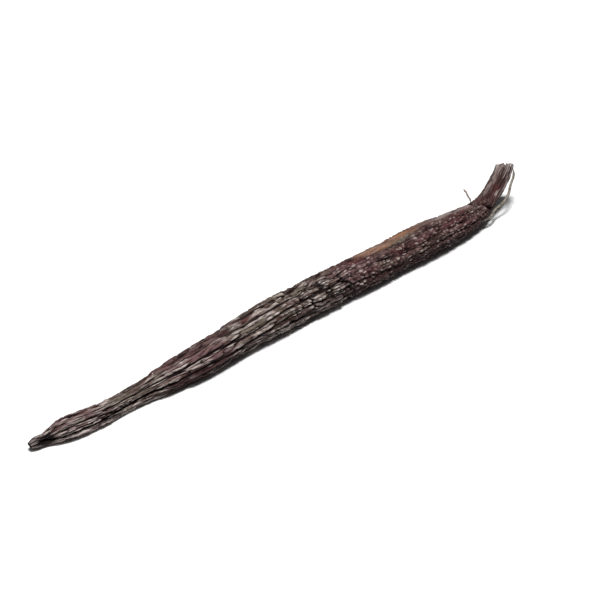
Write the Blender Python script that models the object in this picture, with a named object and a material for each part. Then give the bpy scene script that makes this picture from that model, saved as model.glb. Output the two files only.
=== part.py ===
"""A cured vanilla pod: one long, slim, flattened fruit whose dark skin has dried into lengthwise folds.

It lies along X on a flat strip of its belly, with its blunt nose towards -X and its stem towards +X.
The stem turns up and a little aside, and its end has dried into an open channel. The origin is on the
ground under the middle of the pod.
All sizes are in metres, with +Z up.
"""

import math

import bmesh
import bpy
from mathutils import Vector

# Driving dimensions
POD_LENGTH = 0.1630
POD_WIDTH = 0.0110
STEM_LIFT = 0.0076
STEM_ASIDE = 0.0050
NOSE_LIFT = 0.0010
BELLY_PRESS = 0.0004

# Width along the pod: share of the length from the nose, and share of the widest place
WIDTHS = (
    (0.000, 0.15),
    (0.010, 0.26),
    (0.024, 0.31),
    (0.050, 0.53),
    (0.080, 0.58),
    (0.165, 0.53),
    (0.205, 0.64),
    (0.240, 0.74),
    (0.280, 0.83),
    (0.360, 0.87),
    (0.430, 0.97),
    (0.560, 1.00),
    (0.690, 0.95),
    (0.765, 0.98),
    (0.820, 0.90),
    (0.895, 0.67),
    (0.930, 0.49),
    (0.968, 0.46),
    (1.000, 0.46),
)

# Thickness along the pod, as a share of the width at the same place
FLATNESS = (
    (0.00, 0.90),
    (0.08, 0.76),
    (0.30, 0.72),
    (0.85, 0.73),
    (0.95, 0.82),
    (1.00, 0.74),
)

# How far the pod sways to the side of a straight line
SWAYS = (
    (0.000, 0.0014),
    (0.030, 0.0004),
    (0.100, -0.0007),
    (0.170, -0.0004),
    (0.275, -0.0013),
    (0.400, 0.0000),
    (0.700, 0.0002),
    (1.000, 0.0000),
)

# The stem starts to turn here, and turns more and more
BEND_START = 0.80
BEND_EASE = 2.7

# Three blunt edges, where the fruit's three walls meet, wind slowly round it
WALLS = 3
WALL_EDGE = 0.045
WALL_TWIST = math.radians(70)

# Lengthwise folds of the dried skin
FOLDS = 11
FOLD_DEPTH = 0.00062
FOLD_ROUNDNESS = 0.75
FOLD_WANDER = 0.018
FOLD_WANDER_LENGTH = 0.38

# Crosswise kinks, where the pod was bent as it dried: place, depth, length, slant and side that they face
KINKS = (
    (0.487, 0.00060, 0.0070, 0.010, 0.36),
    (0.525, 0.00045, 0.0060, 0.014, 0.28),
    (0.567, 0.00050, 0.0075, 0.012, 0.36),
    (0.895, 0.00045, 0.0085, -0.010, 0.24),
)

# A dent beside the nose's tip: place and length as shares of the length, turn and its spread, and depth
NOSE_DENT = (0.021, 0.009, 0.470, 0.130, 0.00120)

# The nose's lower lip lies under a crease: where it runs, its turn at both ends, and its spread and depth
LIP_STRETCH = (0.035, 0.185)
LIP_EASE = 0.025
LIP_SLANT = (0.525, 0.455)
LIP_CREASE = (0.021, 0.00095)

# The open channel of the stem: where it opens, and its turn, spread and depth
CHANNEL_STRETCH = (0.915, 0.950)
CHANNEL = (0.345, 0.125, 0.00130)

# The stem is cut off aslant: where the slant sets in, and how far it moves the end forwards and back
CUT_STRETCH = (0.950, 1.000)
CUT_SLANT = 0.0008

# The mesh
RINGS = 104
SIDES = 55
END_CROWDING = 0.40


def along_curve(points, share):
    """The smooth curve through (share, value) points, read at one share of the length."""
    index = 0
    while index < len(points) - 2 and share > points[index + 1][0]:
        index += 1
    (start, low), (end, high) = points[index], points[index + 1]
    before = points[max(index - 1, 0)]
    after = points[min(index + 2, len(points) - 1)]
    step = (share - start) / (end - start)
    rise_in = (high - before[1]) / (end - before[0]) * (end - start)
    rise_out = (after[1] - low) / (after[0] - start) * (end - start)
    square = step * step
    cube = square * step
    return (
        (2 * cube - 3 * square + 1) * low
        + (cube - 2 * square + step) * rise_in
        + (3 * square - 2 * cube) * high
        + (cube - square) * rise_out
    )


def width_at(share):
    return POD_WIDTH * along_curve(WIDTHS, share)


def thickness_at(share):
    return width_at(share) * along_curve(FLATNESS, share)


def centre_at(share):
    """A point of the pod's centre line, which lies above the ground by half the thickness there."""
    bend = (max(0.0, share - BEND_START) / (1 - BEND_START)) ** BEND_EASE
    nose = max(0.0, 1 - share / 0.09) ** 2
    aside = along_curve(SWAYS, share) + STEM_ASIDE * bend
    height = thickness_at(share) / 2 - BELLY_PRESS * (1 - bend) + STEM_LIFT * bend + NOSE_LIFT * nose
    return Vector((POD_LENGTH * share, aside, height))


def fold_depth_at(share, turn):
    """How far the skin lies below the crests of its lengthwise folds."""
    drift = math.sin(2 * math.pi * share / FOLD_WANDER_LENGTH + 4 * math.pi * turn)
    drift += 0.6 * math.sin(2 * math.pi * share / (0.43 * FOLD_WANDER_LENGTH) + 2 * math.pi * turn)
    crest = abs(math.sin(math.pi * FOLDS * (turn + FOLD_WANDER * drift))) ** FOLD_ROUNDNESS
    patch = 0.75 + 0.25 * math.sin(2 * math.pi * (5.3 * share + 2 * turn))
    ends = min(1.0, share / 0.12, (1 - share) / 0.05)
    return FOLD_DEPTH * patch * ends * (1 - crest)


def kink_depth_at(share, turn):
    """How deep the crosswise kinks are pressed in."""
    depth = 0.0
    for place, deepest, length, slant, facing in KINKS:
        across = math.cos(2 * math.pi * (turn - facing))
        distance = (share - place) * POD_LENGTH - slant * POD_LENGTH * math.sin(2 * math.pi * (turn - facing))
        depth += deepest * max(0.0, across) * math.exp(-((2.6 * distance / length) ** 2))
    return depth


def eased(value, start, end):
    """0 up to start, 1 from end on, and a smooth rise between them."""
    step = min(1.0, max(0.0, (value - start) / (end - start)))
    return step * step * (3 - 2 * step)


def nose_depth_at(share, turn):
    """How deep the nose's dent and the crease over its lip are pressed in."""
    place, length, facing, spread, deepest = NOSE_DENT
    dent = deepest * math.exp(-(((share - place) / length) ** 2) - ((turn - facing) / spread) ** 2)
    start, end = LIP_STRETCH
    along = eased(share, start - LIP_EASE, start) * (1 - eased(share, end, end + LIP_EASE))
    low, high = LIP_SLANT
    facing = low + (high - low) * min(1.0, max(0.0, (share - start) / (end - start)))
    spread, deepest = LIP_CREASE
    return dent + deepest * along * math.exp(-(((turn - facing) / spread) ** 2))


def channel_depth_at(share, turn):
    """How far the skin lies back in the open channel of the stem."""
    facing, spread, deepest = CHANNEL
    return deepest * eased(share, *CHANNEL_STRETCH) * math.exp(-(((turn - facing) / spread) ** 4))


def skin_point(share, turn):
    """A point of the skin, at a share of the length and a share of a full turn round it from the +Y side."""
    nearby = 0.002
    heading = (centre_at(min(share + nearby, 1)) - centre_at(max(share - nearby, 0))).normalized()
    aside = Vector((0, 0, 1)).cross(heading).normalized()
    above = heading.cross(aside)
    angle = 2 * math.pi * turn
    edges = 1 + WALL_EDGE * math.cos(WALLS * angle - WALL_TWIST * share)
    outwards = (
        aside * math.cos(angle) * width_at(share) / 2 + above * math.sin(angle) * thickness_at(share) / 2
    ) * edges
    relief = fold_depth_at(share, turn) + kink_depth_at(share, turn)
    relief += nose_depth_at(share, turn) + channel_depth_at(share, turn)
    point = centre_at(share) + outwards - outwards.normalized() * relief
    point -= heading * (CUT_SLANT * math.cos(angle) * eased(share, *CUT_STRETCH))
    point.z = max(point.z, 0.0)
    return point


def ring_share(index):
    """The place of a ring along the pod. Rings crowd together towards both ends."""
    even = index / (RINGS - 1)
    crowded = (1 - math.cos(math.pi * even)) / 2
    return (1 - END_CROWDING) * even + END_CROWDING * crowded


def skin_material():
    material = bpy.data.materials.new("pod_skin")
    material.use_nodes = True
    shader = material.node_tree.nodes["Principled BSDF"]
    shader.inputs["Base Color"].default_value = (0.062, 0.038, 0.033, 1.0)
    shader.inputs["Roughness"].default_value = 0.45
    shader.inputs["Metallic"].default_value = 0.0
    return material


def make_pod():
    """The pod as one closed body: a ring is drawn out along the centre line, and each ring takes its form."""
    form = bmesh.new()
    ring = bmesh.ops.create_circle(form, cap_ends=True, segments=SIDES, radius=POD_WIDTH / 2)["verts"]
    for index in range(RINGS):
        if index:
            edges = list({edge for vert in ring for edge in vert.link_edges if edge.other_vert(vert) in ring})
            drawn = bmesh.ops.extrude_edge_only(form, edges=edges)["geom"]
            copies = [vert for vert in drawn if isinstance(vert, bmesh.types.BMVert)]
            ring = [
                next(edge.other_vert(vert) for edge in vert.link_edges if edge.other_vert(vert) in copies)
                for vert in ring
            ]
        for side, vert in enumerate(ring):
            vert.co = skin_point(ring_share(index), side / SIDES)
    bmesh.ops.contextual_create(form, geom=ring)
    bmesh.ops.recalc_face_normals(form, faces=form.faces)
    bmesh.ops.triangulate(form, faces=[face for face in form.faces if len(face.verts) == 4])

    # The origin comes under the middle of the pod
    places = [vert.co for vert in form.verts]
    middle_x = (min(place.x for place in places) + max(place.x for place in places)) / 2
    middle_y = (min(place.y for place in places) + max(place.y for place in places)) / 2
    bmesh.ops.translate(form, verts=form.verts, vec=(-middle_x, -middle_y, 0))

    mesh = bpy.data.meshes.new("vanilla_pod")
    form.to_mesh(mesh)
    form.free()
    mesh.shade_smooth()
    mesh.materials.append(skin_material())
    return bpy.data.objects.new("vanilla_pod", mesh)


for leftover in list(bpy.data.objects):
    bpy.data.objects.remove(leftover)

group = bpy.data.collections.new("vanilla pod")
bpy.context.scene.collection.children.link(group)
group.objects.link(make_pod())
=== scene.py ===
import math

import bmesh
import bpy
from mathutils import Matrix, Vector, noise


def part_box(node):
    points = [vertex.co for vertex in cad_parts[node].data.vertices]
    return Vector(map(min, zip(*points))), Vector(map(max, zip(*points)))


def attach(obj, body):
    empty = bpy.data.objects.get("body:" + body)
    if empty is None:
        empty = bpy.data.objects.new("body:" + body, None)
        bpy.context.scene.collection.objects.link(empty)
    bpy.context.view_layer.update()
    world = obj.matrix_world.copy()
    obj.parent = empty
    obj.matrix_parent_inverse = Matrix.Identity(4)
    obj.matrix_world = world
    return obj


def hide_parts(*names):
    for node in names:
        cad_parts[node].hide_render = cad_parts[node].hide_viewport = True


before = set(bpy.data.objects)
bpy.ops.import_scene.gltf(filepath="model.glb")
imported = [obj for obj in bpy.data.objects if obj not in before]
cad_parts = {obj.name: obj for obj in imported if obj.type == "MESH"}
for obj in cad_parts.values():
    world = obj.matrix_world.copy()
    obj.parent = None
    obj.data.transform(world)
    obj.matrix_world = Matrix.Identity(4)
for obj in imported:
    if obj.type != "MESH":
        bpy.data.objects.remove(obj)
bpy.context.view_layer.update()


# The pod
# The whole fruit is one piece: a soft, oily, flattened tube of dark skin over thousands of tiny seeds.
# It has dried slowly, so the skin lies in lengthwise folds with finer ridges on them, and it has kinked
# where the pod was bent. It is made as a flat sheet, rolled up and pressed into the pod's form.

POD_LENGTH = 0.1630
POD_WIDTH = 0.0110
STEM_LIFT = 0.0076
STEM_ASIDE = 0.0050
NOSE_LIFT = 0.0010
BELLY_PRESS = 0.0004

# Share of the length from the nose, and share of the widest place
WIDTHS = (
    (0.000, 0.15), (0.010, 0.26), (0.024, 0.31), (0.050, 0.53), (0.080, 0.58), (0.165, 0.53),
    (0.205, 0.64), (0.240, 0.74), (0.280, 0.83), (0.360, 0.87), (0.430, 0.97), (0.560, 1.00),
    (0.690, 0.95), (0.765, 0.98), (0.820, 0.90), (0.895, 0.67), (0.930, 0.49), (0.968, 0.46),
    (1.000, 0.46),
)

# Thickness as a share of the width at the same place
FLATNESS = ((0.00, 0.90), (0.08, 0.76), (0.30, 0.72), (0.85, 0.73), (0.95, 0.82), (1.00, 0.74))

# How far the pod sways to the side of a straight line
SWAYS = (
    (0.000, 0.0014), (0.030, 0.0004), (0.100, -0.0007), (0.170, -0.0004), (0.275, -0.0013),
    (0.400, 0.0000), (0.700, 0.0002), (1.000, 0.0000),
)

# The stem starts to turn here, and turns more and more
BEND_START = 0.80
BEND_EASE = 2.7

# Three blunt edges, where the fruit's three walls meet, wind slowly round it
WALLS = 3
WALL_EDGE = 0.045
WALL_TWIST = math.radians(70)


def along_curve(points, share):
    """The smooth curve through (share, value) points, read at one share of the length."""
    index = 0
    while index < len(points) - 2 and share > points[index + 1][0]:
        index += 1
    (start, low), (end, high) = points[index], points[index + 1]
    before = points[max(index - 1, 0)]
    after = points[min(index + 2, len(points) - 1)]
    step = (share - start) / (end - start)
    rise_in = (high - before[1]) / (end - before[0]) * (end - start)
    rise_out = (after[1] - low) / (after[0] - start) * (end - start)
    square = step * step
    cube = square * step
    return (
        (2 * cube - 3 * square + 1) * low
        + (cube - 2 * square + step) * rise_in
        + (3 * square - 2 * cube) * high
        + (cube - square) * rise_out
    )


def width_at(share):
    return POD_WIDTH * along_curve(WIDTHS, share)


def thickness_at(share):
    return width_at(share) * along_curve(FLATNESS, share)


def centre_at(share):
    """A point of the pod's centre line, which lies above the ground by half the thickness there."""
    bend = (max(0.0, share - BEND_START) / (1 - BEND_START)) ** BEND_EASE
    nose = max(0.0, 1 - share / 0.09) ** 2
    aside = along_curve(SWAYS, share) + STEM_ASIDE * bend
    height = thickness_at(share) / 2 - BELLY_PRESS * (1 - bend) + STEM_LIFT * bend + NOSE_LIFT * nose
    return Vector((POD_LENGTH * share, aside, height))


def pod_frame(share):
    """A point of the centre line, with the directions along the pod, to its side and out of its back."""
    nearby = 0.002
    heading = (centre_at(min(share + nearby, 1)) - centre_at(max(share - nearby, 0))).normalized()
    side = Vector((0, 0, 1)).cross(heading).normalized()
    return centre_at(share), heading, side, heading.cross(side)


def ring_offset(share, angle, side, above):
    """The way from the centre line out to a plain flattened ring round it."""
    return side * math.cos(angle) * width_at(share) / 2 + above * math.sin(angle) * thickness_at(share) / 2


# The main folds
FOLDS = 11
FOLD_DEPTH = 0.00062
FOLD_ROUNDNESS = 0.75
FOLD_WANDER = 0.018
FOLD_WANDER_LENGTH = 0.38


def fold_crest_at(share, turn):
    """1 on the crest of a main fold and 0 in the groove beside it."""
    drift = math.sin(2 * math.pi * share / FOLD_WANDER_LENGTH + 4 * math.pi * turn)
    drift += 0.6 * math.sin(2 * math.pi * share / (0.43 * FOLD_WANDER_LENGTH) + 2 * math.pi * turn)
    return abs(math.sin(math.pi * FOLDS * (turn + FOLD_WANDER * drift))) ** FOLD_ROUNDNESS


def fold_depth_at(share, turn):
    """How far the skin lies below the crests of its main folds."""
    patch = 0.75 + 0.25 * math.sin(2 * math.pi * (5.3 * share + 2 * turn))
    ends = min(1.0, share / 0.12, (1 - share) / 0.05)
    return FOLD_DEPTH * patch * max(ends, 0.0) * (1 - fold_crest_at(share, turn))


# Crosswise kinks: place, depth, length, slant and side that they face
KINKS = (
    (0.487, 0.00060, 0.0070, 0.010, 0.36),
    (0.525, 0.00045, 0.0060, 0.014, 0.28),
    (0.567, 0.00050, 0.0075, 0.012, 0.36),
    (0.895, 0.00045, 0.0085, -0.010, 0.24),
)


def kink_depth_at(share, turn):
    """How deep the crosswise kinks are pressed in."""
    depth = 0.0
    for place, deepest, length, slant, facing in KINKS:
        across = math.cos(2 * math.pi * (turn - facing))
        distance = (share - place) * POD_LENGTH - slant * POD_LENGTH * math.sin(2 * math.pi * (turn - facing))
        depth += deepest * max(0.0, across) * math.exp(-((2.6 * distance / length) ** 2))
    return depth


def eased(value, start, end):
    """0 up to start, 1 from end on, and a smooth rise between them."""
    step = min(1.0, max(0.0, (value - start) / (end - start)))
    return step * step * (3 - 2 * step)


def within(value, start, end, edge):
    """1 between start and end, fading to 0 over an edge outside them."""
    return eased(value, start - edge, start) * (1 - eased(value, end, end + edge))


def clamped(value):
    return min(1.0, max(0.0, value))


# A dent beside the nose's tip: place and length as shares of the length, and turn and its spread
NOSE_DENT = (0.021, 0.009, 0.470, 0.130)
NOSE_DENT_DEPTH = 0.00120

# The nose's lower lip lies under a crease: where it runs, and its turn at both ends
LIP_STRETCH = (0.035, 0.185)
LIP_EASE = 0.025
LIP_SLANT = (0.525, 0.455)
LIP_CREASE_SPREAD = 0.021
LIP_CREASE_DEPTH = 0.00095

# The lip is smooth and carries a painted highlight here: along the pod, and by its turn below the crease
LIP_SHOWN = (0.030, 0.090, 0.012)
LIP_BELOW = (0.034, 0.050, 0.012)


def nose_dent_at(share, turn):
    """How deep the nose's dent is here, as a share of its depth."""
    place, length, facing, spread = NOSE_DENT
    return math.exp(-(((share - place) / length) ** 2) - ((turn - facing) / spread) ** 2)


def lip_crease_turn(share):
    """The turn at which the crease runs. It climbs from the tip's lower side."""
    low, high = LIP_SLANT
    start, end = LIP_STRETCH
    return low + (high - low) * clamped((share - start) / (end - start))


def lip_crease_at(share, turn):
    """How deep the crease is here, as a share of its depth."""
    off = (turn - lip_crease_turn(share)) / LIP_CREASE_SPREAD
    return within(share, *LIP_STRETCH, LIP_EASE) * math.exp(-(off ** 2))


def lip_at(share, turn):
    """1 on the smooth lip below the crease."""
    return within(share, *LIP_SHOWN) * within(turn - lip_crease_turn(share), *LIP_BELOW)


# A crease runs slanting across the foot of the stem: its start, slant and spread
STEM_CREASE = (0.898, 0.045, 0.0046)
STEM_CREASE_TURNS = (0.10, 0.50, 0.06)
STEM_CREASE_DEPTH = 0.00120

# The stem's end has dried into an open channel, here with its turn and spread
CHANNEL_STRETCH = (0.915, 0.950)
CHANNEL = (0.345, 0.125)
CHANNEL_DEPTH = 0.00130

# The stem was torn off aslant
CUT_STRETCH = (0.950, 1.000)
CUT_SLANT = 0.0008
RAGGED_STRETCH = (0.972, 1.000)
RAGGED = 0.0010


def stem_crease_at(share, turn):
    """How deep the crease is here, as a share of its depth."""
    start, slant, spread = STEM_CREASE
    distance = share - start - slant * (turn - STEM_CREASE_TURNS[0])
    return within(turn, *STEM_CREASE_TURNS) * math.exp(-((distance / spread) ** 2))


def channel_at(share, turn):
    """How far the stem's channel has opened here, from 0 to 1."""
    facing, spread = CHANNEL
    return eased(share, *CHANNEL_STRETCH) * math.exp(-(((turn - facing) / spread) ** 4))


# Noise is read on the straightened pod, as a rod of this radius
MEAN_RADIUS = 0.0045


def patchy(place, length, width, seed):
    """Smooth noise from about -1 to 1, in patches of this length along the pod and this width round it."""
    return noise.noise(Vector((place.x / length + seed, place.y / width + seed, place.z / width)))


# One smooth tan scar on the pod's back narrows to a pale ridge up to the stem
SCAR_STRETCH = (0.650, 0.885, 0.03)
SCAR_TURNS = (0.130, 0.215, 0.190)
SCAR_EDGE = 0.025
SCAR_NARROWS = (0.740, 0.800)
SCAR_WANDER = (0.006, 0.003, 67.0)


def scar_at(share, turn, place):
    """1 on the scar."""
    low, wide, narrow = SCAR_TURNS
    high = wide + (narrow - wide) * eased(share, *SCAR_NARROWS)
    wander = SCAR_EDGE * patchy(place, *SCAR_WANDER)
    return within(share, *SCAR_STRETCH) * within(turn + wander, low, high, SCAR_EDGE)


# Finer relief of the dried skin, which the solid leaves out. Ridges run along the pod, broken into dashes,
# which crowd together at the nose, and into short blocks near the kinks.
RIDGES = 24
RIDGE_DEPTH = 0.00062
RIDGE_ROUNDNESS = 0.60
RIDGE_WARP = (0.018, 0.0030, 3.0)
RIDGE_QUIVER = (0.0050, 0.0018, 11.0)
DASH_LENGTH = 0.0045
NOSE_DASHES = (0.022, 150.0)
BLOCK_LENGTH = 0.0018
BLOCK_STRETCH = (0.440, 0.570, 0.025)

# Narrow creases run along the pod and cracks run across it
CREASE_DEPTH = 0.00028
LONG_CREASES = (0.0070, 0.0011, 37.0)
SHORT_CREASES = (0.0024, 0.0007, 53.0)
CRACK_DEPTH = 0.00030
CRACKED_AREAS = (0.009, 0.004, 59.0)
CRACKS = (0.0019, 0.0040, 71.0)

# Towards the stem the skin has crumpled into a net of small cells
CRUMPLED_STRETCH = (0.60, 0.90, 0.05)
CELL_LENGTH = 0.00125
CELL_WIDTH = 0.00085
CELL_DEPTH = 0.00036
CELL_DRIFT = (0.0030, 0.0020, 79.0)

# At the first kinks each ridge breaks off
BROKEN_KINKS = 3
BREAK_FACING = 0.04
BREAK_DEPTH = 0.00075
BREAK_LENGTH = 0.00045
BREAK_SCATTER = 0.0015

# The fine relief is weaker at the nose and on the stem
NOSE_SMOOTH = (0.004, 0.050)
NOSE_SHALLOW = (0.03, 0.17, 0.03)
STEM_SMOOTH = (0.920, 0.950)


def thin_line(value, width):
    """1 where a noise passes through nought, fading to 0 over this width to both sides."""
    return max(0.0, 1 - abs(value) / width) ** 1.3


def drawn_by_lot(first, second, seed):
    """A fixed random number from 0 to 1 for two numbers."""
    return noise.cell(Vector((first + 0.5, second + 0.5, seed + 0.5)))


def crumpled_at(share):
    """1 where the skin has crumpled."""
    return within(share, *CRUMPLED_STRETCH)


def fine_relief_at(share, turn, place):
    """The fine relief's depth, how much painted groove shade the place gets, and how much of a crest it is.
    """
    crumpled = crumpled_at(share)
    warp = patchy(place, *RIDGE_WARP) + 0.45 * patchy(place, *RIDGE_QUIVER)
    ridge_place = RIDGES * turn + warp
    ridge_number = math.floor(ridge_place) % RIDGES
    ridge = abs(math.sin(math.pi * ridge_place)) ** RIDGE_ROUNDNESS

    # Each ridge rises and sinks along its way in dashes of its own, and in short blocks near the kinks
    crowded_to, crowding = NOSE_DASHES
    dash_place = place.x / DASH_LENGTH + crowding * min(place.x, crowded_to)
    dash_place += 9 * drawn_by_lot(ridge_number, 0, 9.0)
    dash = noise.noise(Vector((dash_place, 3.7 * ridge_number + 0.35, 0.45)))
    block_place = place.x / BLOCK_LENGTH + 0.4 * ridge_number
    block = noise.noise(Vector((block_place, 3.7 * ridge_number + 0.35, 5.45)))
    blocky = within(share, *BLOCK_STRETCH)
    rise = eased(dash * (1 - blocky) + block * blocky, -0.28, 0.10)
    depth = RIDGE_DEPTH * (1 - 0.60 * crumpled) * (1 - ridge * (0.40 + 0.60 * rise))

    # Creases and cracks, most of the cracks near the kinks
    crease = thin_line(patchy(place, *LONG_CREASES), 0.12)
    crease += 0.6 * thin_line(patchy(place, *SHORT_CREASES), 0.15)
    depth += CREASE_DEPTH * crease
    cracked = 0.30 * eased(patchy(place, *CRACKED_AREAS), 0.0, 0.3) + 0.5 * blocky
    crack = cracked * thin_line(patchy(place, *CRACKS), 0.15)
    depth += CRACK_DEPTH * crack

    # The net of cells has a groove round each cell
    drift = 0.8 * patchy(place, *CELL_DRIFT)
    cell = Vector((place.x / CELL_LENGTH + drift, place.y / CELL_WIDTH + drift, place.z / CELL_WIDTH))
    nearest, second = noise.voronoi(cell)[0][:2]
    border = (0.12 + 0.88 * crumpled) * (1 - eased(second - nearest, 0.0, 0.35))
    depth += CELL_DEPTH * border

    # Each ridge breaks off at a place of its own beside a kink
    broken = 0.0
    for kink_place, _, _, slant, facing in KINKS[:BROKEN_KINKS]:
        facing_it = max(0.0, math.cos(2 * math.pi * (turn - facing - BREAK_FACING))) ** 3
        scatter = BREAK_SCATTER * (drawn_by_lot(ridge_number, 100 * kink_place, 21.0) - 0.5)
        slanted = slant * math.sin(2 * math.pi * (turn - facing))
        distance = (share - kink_place - slanted) * POD_LENGTH + scatter
        broken += facing_it * math.exp(-((distance / BREAK_LENGTH) ** 2))
    depth += BREAK_DEPTH * broken

    flat = 1.0
    for line in ((0.7 - 0.3 * crumpled) * crease, 0.8 * crack, 0.45 * border, broken):
        flat *= 1 - min(1.0, line)
    shallow = 0.55 * crumpled + 0.30 * within(share, *NOSE_SHALLOW)
    gap = (0.4 + 0.6 * rise) * (1 - shallow) * (1 - eased(ridge, 0.12, 0.52))
    groove_shade = 1 - flat * (1 - gap)
    cell_top = eased(second - nearest, 0.10, 0.50) * (0.45 + 0.55 * ridge)
    crest = (1 - crumpled) * ridge * (0.25 + 0.75 * rise) * flat + crumpled * cell_top * flat
    nose = 0.45 + 0.55 * eased(share, *NOSE_SMOOTH)
    stem = 0.30 * eased(share, *STEM_SMOOTH) + 0.25 * channel_at(share, turn)
    rough = 1 - max(0.60 * scar_at(share, turn, place), 0.35 * lip_at(share, turn), stem)
    return depth * nose * rough, groove_shade * rough, crest


# What varies over the skin besides its relief. Each place has its stretch along the pod, its turns round it
# and its strength. Stretches and turns end with the width of the edge over which they fade.
ALL_ALONG = (0.00, 1.00, 0.05)
ALL_ROUND = (0.00, 1.00, 0.05)

# The skin is olive in some places, and rosy where this is below nought
OLIVE_PLACES = (
    ((0.13, 0.21, 0.03), ALL_ROUND, 0.54),
    ((0.37, 0.56, 0.03), ALL_ROUND, 0.60),
    ((0.02, 0.10, 0.03), ALL_ROUND, -0.60),
    ((0.23, 0.33, 0.03), ALL_ROUND, -0.36),
    ((0.57, 0.63, 0.03), ALL_ROUND, -0.48),
)
OLIVE_CLOUDS = (0.014, 0.0035, 61.0)

# It is maroon at the tip and towards the stem
MAROON_PLACES = (
    ((0.00, 0.025, 0.02), ALL_ROUND, 0.6000),
    ((0.62, 0.930, 0.02), ALL_ROUND, 0.3375),
)
MAROON_CLOUDS = (0.010, 0.0028, 73.0)

# Painted shade darkens the underside, the far edge of the back and the inside of the stem's channel; both
# ends are darker
UNDERSIDE_SHADE = (((0.22, 1.00, 0.08), (0.49, 0.97, 0.08), 0.95),)
BACK_EDGE_SHADE = ((ALL_ALONG, (0.03, 0.19, 0.05), 0.35),)
DARK_ENDS = (
    ((0.000, 0.020, 0.012), ALL_ROUND, 0.85),
    ((0.930, 1.000, 0.030), ALL_ROUND, 0.45),
    # Painted shade inside the stem's channel
    ((0.975, 1.000, 0.020), (0.26, 0.46, 0.04), 0.45),
)
DARKENING_CLOUDS = (0.0060, 0.0022, 107.0)

# Its crests are paler here, partly as dry skin and partly as a painted highlight, or darker where this is
# below nought. By turn, a painted highlight lies on the nose's lower side and part of the front, and painted
# shade on the back's far edge and the underside. The crests are pale in streaks as long as the ridges, and in
# specks where crumpled.
DRY_AND_LIT_PLACES = (
    ((0.36, 0.58, 0.03), ALL_ROUND, 0.40),
    ((0.03, 0.20, 0.03), ALL_ROUND, 0.45),
    # Painted highlight on the nose's lower side and part of the front
    ((0.03, 0.20, 0.03), (0.36, 0.54, 0.04), 0.45),
    ((0.20, 0.28, 0.02), (0.33, 0.42, 0.03), 0.50),
    # Painted shade on the far edge of the back
    (ALL_ALONG, (0.04, 0.21, 0.05), -0.65),
    ((0.93, 1.00, 0.03), ALL_ROUND, -0.20),
    # Painted shade on the underside
    ((0.22, 1.00, 0.08), (0.50, 0.95, 0.05), -0.35),
)
CREST_STREAKS = (0.0038, 0.0008, 89.0)
CREST_SPECKS = (0.0013, 0.0010, 91.0)

# A painted highlight lies on the nose's tip and, as a glint, on one spot inside the stem's channel. The rims
# of the channel and the torn end are pale
TIP_GLINT = (((0.000, 0.004, 0.006), (0.26, 0.42, 0.05), 1.00),)
PALE_RIMS = (
    (ALL_ALONG, (0.130, 0.205, 0.03), 0.32),
    (ALL_ALONG, (0.490, 0.515, 0.02), 0.32),
    ((0.998, 1.000, 0.007), ALL_ROUND, 0.40),
)
CHANNEL_GLINT = (((0.946, 0.953, 0.005), (0.415, 0.440, 0.015), 0.55),)
PALE_CLOUDS = (0.0035, 0.0010, 83.0)
RIM_CLOUDS = (0.0022, 0.0009, 109.0)
SCAR_CLOUDS = (0.0040, 0.0016, 97.0)


def placed(places, share, turn):
    """What these places come to here."""
    return sum(
        strength * within(share, *stretch) * within(turn, *turns) for stretch, turns, strength in places
    )


def olive_at(share, turn, place):
    return clamped(0.5 + patchy(place, *OLIVE_CLOUDS) + placed(OLIVE_PLACES, share, turn))


def maroon_at(share, turn, place):
    return clamped(0.15 + 1.1 * patchy(place, *MAROON_CLOUDS) + placed(MAROON_PLACES, share, turn))


def shade_and_dark_ends_at(share, turn, place):
    darkest = max(placed(places, share, turn) for places in (UNDERSIDE_SHADE, BACK_EDGE_SHADE, DARK_ENDS))
    return min(1.0, darkest * max(0.0, 1.0 + 0.9 * patchy(place, *DARKENING_CLOUDS)))


def dry_and_lit_at(share, turn, place):
    crumpled = crumpled_at(share)
    dry_and_lit = 0.50 + placed(DRY_AND_LIT_PLACES, share, turn)
    dry_and_lit += (1 - crumpled) * patchy(place, *CREST_STREAKS)
    dry_and_lit += crumpled * (0.02 + patchy(place, *CREST_SPECKS))
    return clamped(dry_and_lit)


def pale_and_glint_at(share, turn, place):
    """Painted highlights on the lip, the nose's tip and a channel spot, and the pale scar ridge, rims and
    end.
    """
    scar = 0.15 * eased(patchy(place, *SCAR_CLOUDS), -0.1, 0.3) + 0.25 * eased(share, *SCAR_NARROWS)
    pale_and_glint = 1.3 * lip_at(share, turn) + placed(TIP_GLINT, share, turn) + scar * scar_at(share, turn, place)
    pale_and_glint *= 0.40 + 0.60 * eased(patchy(place, *PALE_CLOUDS), -0.3, 0.1)
    uneven = 0.30 + 0.70 * eased(patchy(place, *RIM_CLOUDS), -0.25, 0.15)
    rims = uneven * placed(PALE_RIMS, share, turn) + placed(CHANNEL_GLINT, share, turn)
    return min(1.0, pale_and_glint + rims * eased(share, *CHANNEL_STRETCH))


# The sheet is rolled up with this many faces round it and along it, and its last rows close both ends
SIDES = 184
ROWS = 540
END_ROWS = 6
END_CROWDING = 0.35
END_HOLLOW = 0.0006

# Patches of colour on the scar and in the channel
TAN_CLOUDS = (0.0045, 0.0012, 101.0)
WINE_CLOUDS = (0.0024, 0.0012, 103.0)
WINE_STRETCH = (0.936, 0.958, 0.016)


def row_place(row):
    """A row's share of the length, and how far it is drawn in to close an end."""
    last = ROWS - END_ROWS
    if row < END_ROWS:
        return 0.0, row / END_ROWS
    if row > last:
        return 1.0, (ROWS - row) / END_ROWS
    even = (row - END_ROWS) / (last - END_ROWS)
    crowded = (1 - math.cos(math.pi * even)) / 2
    return (1 - END_CROWDING) * even + END_CROWDING * crowded, 1.0


rows = []
for row in range(ROWS + 1):
    share, drawn = row_place(row)
    rows.append((share, drawn, *pod_frame(share)))

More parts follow.
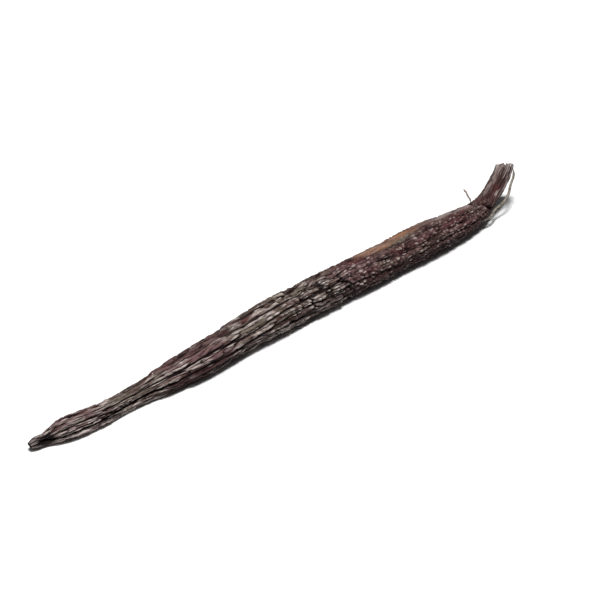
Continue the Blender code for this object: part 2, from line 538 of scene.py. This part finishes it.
form = bmesh.new()
shade_layers = {
    name: form.verts.layers.float.new(name)
    for name in ("groove_shade", "crest", "dry_and_lit", "maroon", "shade_and_dark_ends", "olive", "tan", "pale_and_glint", "channel")
}
straight_layer = form.verts.layers.float_vector.new("straight")
bmesh.ops.create_grid(form, x_segments=SIDES, y_segments=ROWS, size=1)

for vert in form.verts:
    turn = (vert.co.x + 1) / 2 % 1.0
    share, drawn, centre, heading, side, above = rows[round((vert.co.y + 1) / 2 * ROWS)]
    angle = 2 * math.pi * turn
    place = Vector((POD_LENGTH * share, MEAN_RADIUS * math.cos(angle), MEAN_RADIUS * math.sin(angle)))
    edges = 1 + WALL_EDGE * math.cos(WALLS * angle - WALL_TWIST * share)
    outwards = ring_offset(share, angle, side, above) * edges
    fine, groove_shade, crest = fine_relief_at(share, turn, place)
    lip_crease = lip_crease_at(share, turn)
    nose_dent = nose_dent_at(share, turn)
    stem_crease = stem_crease_at(share, turn)
    channel = channel_at(share, turn)
    relief = fold_depth_at(share, turn) + kink_depth_at(share, turn) + fine
    relief += LIP_CREASE_DEPTH * lip_crease + NOSE_DENT_DEPTH * nose_dent
    relief += STEM_CREASE_DEPTH * stem_crease + CHANNEL_DEPTH * channel
    point = centre + (outwards - outwards.normalized() * relief) * drawn

    # The stem's end is slanting and torn, and both ends are a little hollow
    torn = noise.noise(Vector((2.2 * math.cos(angle), 2.2 * math.sin(angle), 8.3)))
    cut = CUT_SLANT * math.cos(angle) * eased(share, *CUT_STRETCH)
    cut += RAGGED * (0.5 + torn) * eased(share, *RAGGED_STRETCH)
    point -= heading * (cut * drawn)
    if drawn < 1:
        point += heading * (END_HOLLOW * (1 - drawn) * (1 if share == 0 else -1))
    point.z = max(point.z, 0.0)
    vert.co = point

    # Painted shade darkens the main folds' grooves and the creases, less where the skin is crumpled or smooth
    scar = scar_at(share, turn, place)
    fold = eased(fold_crest_at(share, turn), 0.10, 0.60)
    fold += (1 - fold) * max(0.55 * crumpled_at(share), 0.45 * eased(share, *STEM_SMOOTH))
    fold += (1 - fold) * max(0.8 * lip_at(share, turn), 0.4 * scar)
    creased = max(lip_crease, min(1.0, 2.4 * nose_dent), 0.3 * stem_crease)
    crest *= 0.5 + 0.5 * fold
    tanned = 0.30 + 0.70 * eased(patchy(place, *TAN_CLOUDS), -0.20, 0.25)
    wine = 0.20 + 0.80 * eased(patchy(place, *WINE_CLOUDS), -0.10, 0.20)
    shades = {
        # Painted shade in the grooves and creases
        "groove_shade": 1 - (1 - groove_shade) * fold * (1 - creased),
        "crest": crest,
        # Pale crests, as dry skin and as a painted highlight
        "dry_and_lit": crest * dry_and_lit_at(share, turn, place),
        "maroon": maroon_at(share, turn, place),
        # Painted shade on the underside, the back's far edge and in the channel, and darker ends
        "shade_and_dark_ends": shade_and_dark_ends_at(share, turn, place),
        "olive": olive_at(share, turn, place),
        "tan": tanned * scar * (1 - eased(share, *SCAR_NARROWS)),
        # Painted highlights on the lip, the nose's tip and a channel spot, with pale scar ridge, rims and end
        "pale_and_glint": pale_and_glint_at(share, turn, place),
        "channel": max(channel * wine * within(share, *WINE_STRETCH), 0.9 * stem_crease),
    }
    for name, shade in shades.items():
        vert[shade_layers[name]] = shade
    vert[straight_layer] = place

bmesh.ops.remove_doubles(form, verts=form.verts, dist=0.000001)
bmesh.ops.recalc_face_normals(form, faces=form.faces)

# The pod lies where the solid lies
solid_low, solid_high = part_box("vanilla_pod")
low_x = min(vert.co.x for vert in form.verts)
low_y = min(vert.co.y for vert in form.verts)
high_x = max(vert.co.x for vert in form.verts)
high_y = max(vert.co.y for vert in form.verts)
middle = (solid_low + solid_high) / 2
shift = Vector((middle.x - (low_x + high_x) / 2, middle.y - (low_y + high_y) / 2, 0.0))
bmesh.ops.translate(form, verts=form.verts, vec=shift)

pod_mesh = bpy.data.meshes.new("pod")
form.to_mesh(pod_mesh)
form.free()
pod_mesh.shade_smooth()
pod = bpy.data.objects.new("pod", pod_mesh)
bpy.context.scene.collection.objects.link(pod)

# Reddish and olive brown skin; grooves near black as painted shade; crests paler as dry skin and painted
# highlight
MAUVE = (0.142, 0.078, 0.079)
OLIVE = (0.120, 0.096, 0.074)
MAROON = (0.088, 0.032, 0.032)
UMBER = (0.036, 0.016, 0.015)
TAN = (0.225, 0.112, 0.064)
WINE = (0.085, 0.012, 0.016)
DRY_AND_LIT_CREST = (0.430, 0.368, 0.340)
# Colour of the painted highlights, and of the pale scar ridge, rims and torn end
PALE_AND_GLINT = (0.520, 0.450, 0.420)
GROOVE_SHADE = (0.0060, 0.0022, 0.0022)

# Streaks and specks: patches a metre along the pod and round it, detail and seed
DARK_BLOTCHES = (140.0, 500.0, 3.0, 5.0)
DARK_SPECKS = (900.0, 1500.0, 2.0, 31.0)
FINE_STREAKS = (420.0, 3200.0, 4.0, 9.0)
DULL_PATCHES = (300.0, 1100.0, 4.0, 17.0)
OILY_PATCHES = (200.0, 900.0, 3.0, 41.0)
PORES = (900.0, 4200.0, 5.0, 29.0)
PORE_DEPTH = 0.00014

skin = bpy.data.materials.new("pod_skin")
skin.use_nodes = True
nodes = skin.node_tree.nodes
links = skin.node_tree.links
shader = nodes["Principled BSDF"]


def attribute(name, output):
    node = nodes.new("ShaderNodeAttribute")
    node.attribute_name = name
    return node.outputs[output]


def streaks(scale_along, scale_around, detail, seed):
    """Noise over the straightened pod, drawn out along it."""
    mapping = nodes.new("ShaderNodeMapping")
    mapping.inputs["Scale"].default_value = (scale_along, scale_around, scale_around)
    mapping.inputs["Location"].default_value = (seed, seed, seed)
    links.new(attribute("straight", "Vector"), mapping.inputs["Vector"])
    texture = nodes.new("ShaderNodeTexNoise")
    texture.inputs["Scale"].default_value = 1.0
    texture.inputs["Detail"].default_value = detail
    texture.inputs["Roughness"].default_value = 0.6
    links.new(mapping.outputs["Vector"], texture.inputs["Vector"])
    return texture.outputs["Fac"]


def between(value, low, high, out_low=0.0, out_high=1.0):
    """Takes a value's range from low to high onto another range, and holds it there."""
    node = nodes.new("ShaderNodeMapRange")
    node.inputs["From Min"].default_value = low
    node.inputs["From Max"].default_value = high
    node.inputs["To Min"].default_value = out_low
    node.inputs["To Max"].default_value = out_high
    links.new(value, node.inputs["Value"])
    return node.outputs["Result"]


def times(first, second):
    """Two values multiplied, of which the second may be a plain number."""
    node = nodes.new("ShaderNodeMath")
    node.operation = "MULTIPLY"
    links.new(first, node.inputs[0])
    if isinstance(second, float):
        node.inputs[1].default_value = second
    else:
        links.new(second, node.inputs[1])
    return node.outputs["Value"]


def mixed_colour(under, over, amount):
    """A colour laid over another, which may come from a socket."""
    node = nodes.new("ShaderNodeMix")
    node.data_type = "RGBA"
    if isinstance(under, tuple):
        node.inputs[6].default_value = (*under, 1.0)
    else:
        links.new(under, node.inputs[6])
    node.inputs[7].default_value = (*over, 1.0)
    links.new(amount, node.inputs[0])
    return node.outputs[2]


fine_streaks = between(streaks(*FINE_STREAKS), 0.40, 0.58, 0.10, 1.0)
coats_of_colour = (
    (OLIVE, attribute("olive", "Fac")),
    (MAROON, attribute("maroon", "Fac")),
    (UMBER, between(streaks(*DARK_BLOTCHES), 0.50, 0.66)),
    (UMBER, between(streaks(*DARK_SPECKS), 0.54, 0.66, 0.0, 0.7)),
    # Painted shade on the underside, the back's far edge and in the stem's channel, and darker ends
    (UMBER, times(attribute("shade_and_dark_ends", "Fac"), 0.90)),
    (TAN, attribute("tan", "Fac")),
    (WINE, between(attribute("channel", "Fac"), 0.25, 0.90, 0.0, 0.85)),
    # Crests are paler: partly dry skin, partly a painted highlight
    (DRY_AND_LIT_CREST, times(between(attribute("dry_and_lit", "Fac"), 0.12, 0.65), fine_streaks)),
    # Painted highlights on the lip, the nose's tip and a spot in the channel, with pale scar ridge, rims and
    # end
    (PALE_AND_GLINT, times(attribute("pale_and_glint", "Fac"), 0.85)),
    # Grooves and creases are painted near black: painted shade
    (GROOVE_SHADE, between(attribute("groove_shade", "Fac"), 0.24, 0.66)),
)
skin_colour = MAUVE
for colour, amount in coats_of_colour:
    skin_colour = mixed_colour(skin_colour, colour, amount)
links.new(skin_colour, shader.inputs["Base Color"])

# The crests have a thin oily gloss in patches, and the skin has fine pores
links.new(between(streaks(*DULL_PATCHES), 0.3, 0.7, 0.40, 0.66), shader.inputs["Roughness"])
shader.inputs["Specular IOR Level"].default_value = 0.10
oily = between(streaks(*OILY_PATCHES), 0.40, 0.60)
links.new(times(between(attribute("crest", "Fac"), 0.15, 0.7), oily), shader.inputs["Coat Weight"])
shader.inputs["Coat Roughness"].default_value = 0.22
shader.inputs["Coat IOR"].default_value = 1.38
bump = nodes.new("ShaderNodeBump")
bump.inputs["Strength"].default_value = 0.9
bump.inputs["Distance"].default_value = PORE_DEPTH
links.new(streaks(*PORES), bump.inputs["Height"])
links.new(bump.outputs["Normal"], shader.inputs["Normal"])
pod.data.materials.append(skin)

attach(pod, "root")
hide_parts("vanilla_pod")


# The peeled strip
# Where the stem was torn off the vine, a strip of dry skin has come loose. It bows away from the stem's
# lower side and is still rooted at both ends. It is a sheet, rolled up thin and flat along its path.

# Its path: step along it, and share of the pod's length, turn and height above the skin
STRIP_SHARES = ((0.0, 0.997), (0.2, 0.980), (0.5, 0.947), (0.8, 0.910), (1.0, 0.884))
STRIP_TURNS = ((0.0, 0.490), (0.2, 0.540), (0.5, 0.575), (0.8, 0.565), (1.0, 0.545))
STRIP_LIFTS = ((0.0, -0.0004), (0.2, 0.0007), (0.5, 0.0010), (0.8, 0.0003), (1.0, -0.0004))
STRIP_RIPPLE = 0.00015
STRIP_RIPPLES = 17
STRIP_SIZE = (0.00064, 0.00026)
STRIP_SHADE = (0.070, 0.054, 0.040)
STRIP_LIGHT = (0.230, 0.200, 0.165)

# Fibres have this many faces round them and along them, and their width is this uneven
FIBRE_SIDES = 10
FIBRE_ROWS = 60
FIBRE_FACING = Vector((-0.6, -0.6, 0.5))
FIBRE_POINT = 9
FIBRE_RAGS = 6.0
FIBRE_UNEVEN = 0.9


def above_skin(share, turn, lift):
    """A point at this height above the skin's crests."""
    centre, _, side, above = pod_frame(share)
    outwards = ring_offset(share, 2 * math.pi * turn, side, above)
    return centre + outwards + outwards.normalized() * lift + shift


def strip_place(step):
    lift = along_curve(STRIP_LIFTS, step) + STRIP_RIPPLE * math.sin(STRIP_RIPPLES * step)
    return above_skin(along_curve(STRIP_SHARES, step), along_curve(STRIP_TURNS, step), lift)


def make_fibre(name, place_at, size):
    """A thin flat piece along a path, with both ends drawn to a point."""
    fibre_form = bmesh.new()
    bmesh.ops.create_grid(fibre_form, x_segments=FIBRE_SIDES, y_segments=FIBRE_ROWS, size=1)
    for vert in fibre_form.verts:
        angle = math.pi * (vert.co.x + 1)
        step = (vert.co.y + 1) / 2
        heading = (place_at(min(step + 0.01, 1.0)) - place_at(max(step - 0.01, 0.0))).normalized()
        across = heading.cross(FIBRE_FACING).normalized()
        ragged = noise.noise(Vector((FIBRE_RAGS * step + 0.3, 1.6 * math.cos(angle) + 0.7, 0.2)))
        drawn = min(1.0, FIBRE_POINT * step, FIBRE_POINT * (1 - step)) ** 0.7 * (1 + FIBRE_UNEVEN * ragged)
        bulge = across * math.cos(angle) * size[0] / 2
        bulge += across.cross(heading) * math.sin(angle) * size[1] / 2
        vert.co = place_at(step) + bulge * drawn
    bmesh.ops.remove_doubles(fibre_form, verts=fibre_form.verts, dist=0.000001)
    bmesh.ops.recalc_face_normals(fibre_form, faces=fibre_form.faces)
    fibre_mesh = bpy.data.meshes.new(name)
    fibre_form.to_mesh(fibre_mesh)
    fibre_form.free()
    fibre_mesh.shade_smooth()
    fibre = bpy.data.objects.new(name, fibre_mesh)
    bpy.context.scene.collection.objects.link(fibre)
    return fibre


# Dry fibre has a dull colour in uneven patches, from a darker shade to a lighter one
fibre_patches = bpy.data.node_groups.new("fibre_patches", "ShaderNodeTree")
fibre_patches.interface.new_socket("Shade", in_out="INPUT", socket_type="NodeSocketColor")
fibre_patches.interface.new_socket("Light", in_out="INPUT", socket_type="NodeSocketColor")
fibre_patches.interface.new_socket("Colour", in_out="OUTPUT", socket_type="NodeSocketColor")
patch_inputs = fibre_patches.nodes.new("NodeGroupInput")
patch_outputs = fibre_patches.nodes.new("NodeGroupOutput")
patch_place = fibre_patches.nodes.new("ShaderNodeTexCoord")
patch_noise = fibre_patches.nodes.new("ShaderNodeTexNoise")
patch_noise.inputs["Scale"].default_value = 1400.0
patch_noise.inputs["Detail"].default_value = 3.0
patch_share = fibre_patches.nodes.new("ShaderNodeMapRange")
patch_share.inputs["From Min"].default_value = 0.35
patch_share.inputs["From Max"].default_value = 0.62
patch_mix = fibre_patches.nodes.new("ShaderNodeMix")
patch_mix.data_type = "RGBA"
fibre_patches.links.new(patch_place.outputs["Object"], patch_noise.inputs["Vector"])
fibre_patches.links.new(patch_noise.outputs["Fac"], patch_share.inputs["Value"])
fibre_patches.links.new(patch_share.outputs["Result"], patch_mix.inputs[0])
fibre_patches.links.new(patch_inputs.outputs["Shade"], patch_mix.inputs[6])
fibre_patches.links.new(patch_inputs.outputs["Light"], patch_mix.inputs[7])
fibre_patches.links.new(patch_mix.outputs[2], patch_outputs.inputs["Colour"])


def fibre_paint(name, shade, light):
    paint = bpy.data.materials.new(name)
    paint.use_nodes = True
    tree = paint.node_tree
    patch = tree.nodes.new("ShaderNodeGroup")
    patch.node_tree = fibre_patches
    patch.inputs["Shade"].default_value = (*shade, 1.0)
    patch.inputs["Light"].default_value = (*light, 1.0)
    paint_shader = tree.nodes["Principled BSDF"]
    tree.links.new(patch.outputs["Colour"], paint_shader.inputs["Base Color"])
    paint_shader.inputs["Roughness"].default_value = 0.62
    return paint


strip = make_fibre("peeled_strip", strip_place, STRIP_SIZE)
strip.data.materials.append(fibre_paint("strip_skin", STRIP_SHADE, STRIP_LIGHT))
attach(strip, "root")


# The stem hair
# One stiff dry fibre stands off the skin beside the stem's crease. It is as thick as a bristle, slightly
# bent and rooted in the skin, and it is made like the strip.

HAIR_ROOT = (0.902, 0.15, -0.0004)
HAIR_REACH = Vector((-0.0012, 0.0016, 0.0036))
HAIR_BOW = Vector((0.0001, 0.0000, 0.0001))
HAIR_SIZE = (0.00046, 0.00038)
HAIR_SHADE = (0.300, 0.210, 0.195)
HAIR_LIGHT = (0.520, 0.420, 0.390)


def hair_place(step):
    return above_skin(*HAIR_ROOT) + HAIR_REACH * step + HAIR_BOW * math.sin(math.pi * step)


hair = make_fibre("stem_hair", hair_place, HAIR_SIZE)
hair.data.materials.append(fibre_paint("hair_skin", HAIR_SHADE, HAIR_LIGHT))
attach(hair, "root")


# The floor
# A plain white table top, painted and not glossy, lies under and round the pod with no edge in view. It is
# one flat sheet, a hair's breadth below the pod's belly, so that the two don't share a plane.

FLOOR_SIZE = 3.0
FLOOR_GAP = 0.00005
FLOOR_WHITE = (0.86, 0.86, 0.86)

floor_form = bmesh.new()
bmesh.ops.create_grid(floor_form, x_segments=1, y_segments=1, size=FLOOR_SIZE)
bmesh.ops.translate(floor_form, verts=floor_form.verts, vec=(0, 0, -FLOOR_GAP))
floor_mesh = bpy.data.meshes.new("floor")
floor_form.to_mesh(floor_mesh)
floor_form.free()
floor = bpy.data.objects.new("floor", floor_mesh)
bpy.context.scene.collection.objects.link(floor)
floor_paint = bpy.data.materials.new("floor_paint")
floor_paint.use_nodes = True
floor_shader = floor_paint.node_tree.nodes["Principled BSDF"]
floor_shader.inputs["Base Color"].default_value = (*FLOOR_WHITE, 1.0)
floor_shader.inputs["Roughness"].default_value = 0.8
floor.data.materials.append(floor_paint)


# Light
# A wide soft light hangs above the pod and a weaker one in front of it. Plain white light comes from all
# round, and the camera's side is named here because the lights are placed from it.

POD_MIDDLE = Vector((0.0, 0.0, 0.004))
CAMERA_AZIMUTH = math.radians(46.9)

# Turn from the camera's side, elevation, size and power
SKY_LIGHT = (math.radians(-10), math.radians(82), 0.38, 20.0)
FRONT_LIGHT = (math.radians(15), math.radians(56), 0.35, 1.2)
LIGHT_DISTANCE = 1.2
ROOM_LIGHT = 0.06


def towards(azimuth, elevation):
    """The direction from the pod to a light or camera, with azimuth 0 at the pod's -Y side."""
    return Vector((
        -math.sin(azimuth) * math.cos(elevation),
        -math.cos(azimuth) * math.cos(elevation),
        math.sin(elevation),
    ))


def soft_light(name, turn, elevation, size, power):
    light = bpy.data.lights.new(name, "AREA")
    light.shape = "DISK"
    light.size = size
    light.energy = power
    lamp = bpy.data.objects.new(name, light)
    lamp.location = POD_MIDDLE + towards(CAMERA_AZIMUTH + turn, elevation) * LIGHT_DISTANCE
    lamp.rotation_euler = (POD_MIDDLE - lamp.location).to_track_quat("-Z", "Y").to_euler()
    bpy.context.scene.collection.objects.link(lamp)


soft_light("sky_light", *SKY_LIGHT)
soft_light("front_light", *FRONT_LIGHT)

world = bpy.data.worlds.new("studio")
world.use_nodes = True
background = world.node_tree.nodes["Background"]
background.inputs["Color"].default_value = (1.0, 1.0, 1.0, 1.0)
background.inputs["Strength"].default_value = ROOM_LIGHT
bpy.context.scene.world = world
bpy.context.scene.view_settings.view_transform = "Standard"


# Camera
# It looks down on the pod's long side from the front, in the photograph's direction and with nearly its
# perspective, and its lens takes in the one pod from end to end.

CAMERA_ELEVATION = math.radians(28.3)
CAMERA_DISTANCE = 0.547
CAMERA_LENS = 142.0

camera = bpy.data.cameras.new("camera")
camera.lens = CAMERA_LENS
camera.sensor_width = 36.0
camera.clip_start = 0.01
viewer = bpy.data.objects.new("camera", camera)
viewer.location = POD_MIDDLE + towards(CAMERA_AZIMUTH, CAMERA_ELEVATION) * CAMERA_DISTANCE
viewer.rotation_euler = (POD_MIDDLE - viewer.location).to_track_quat("-Z", "Y").to_euler()
bpy.context.scene.collection.objects.link(viewer)
bpy.context.scene.camera = viewer
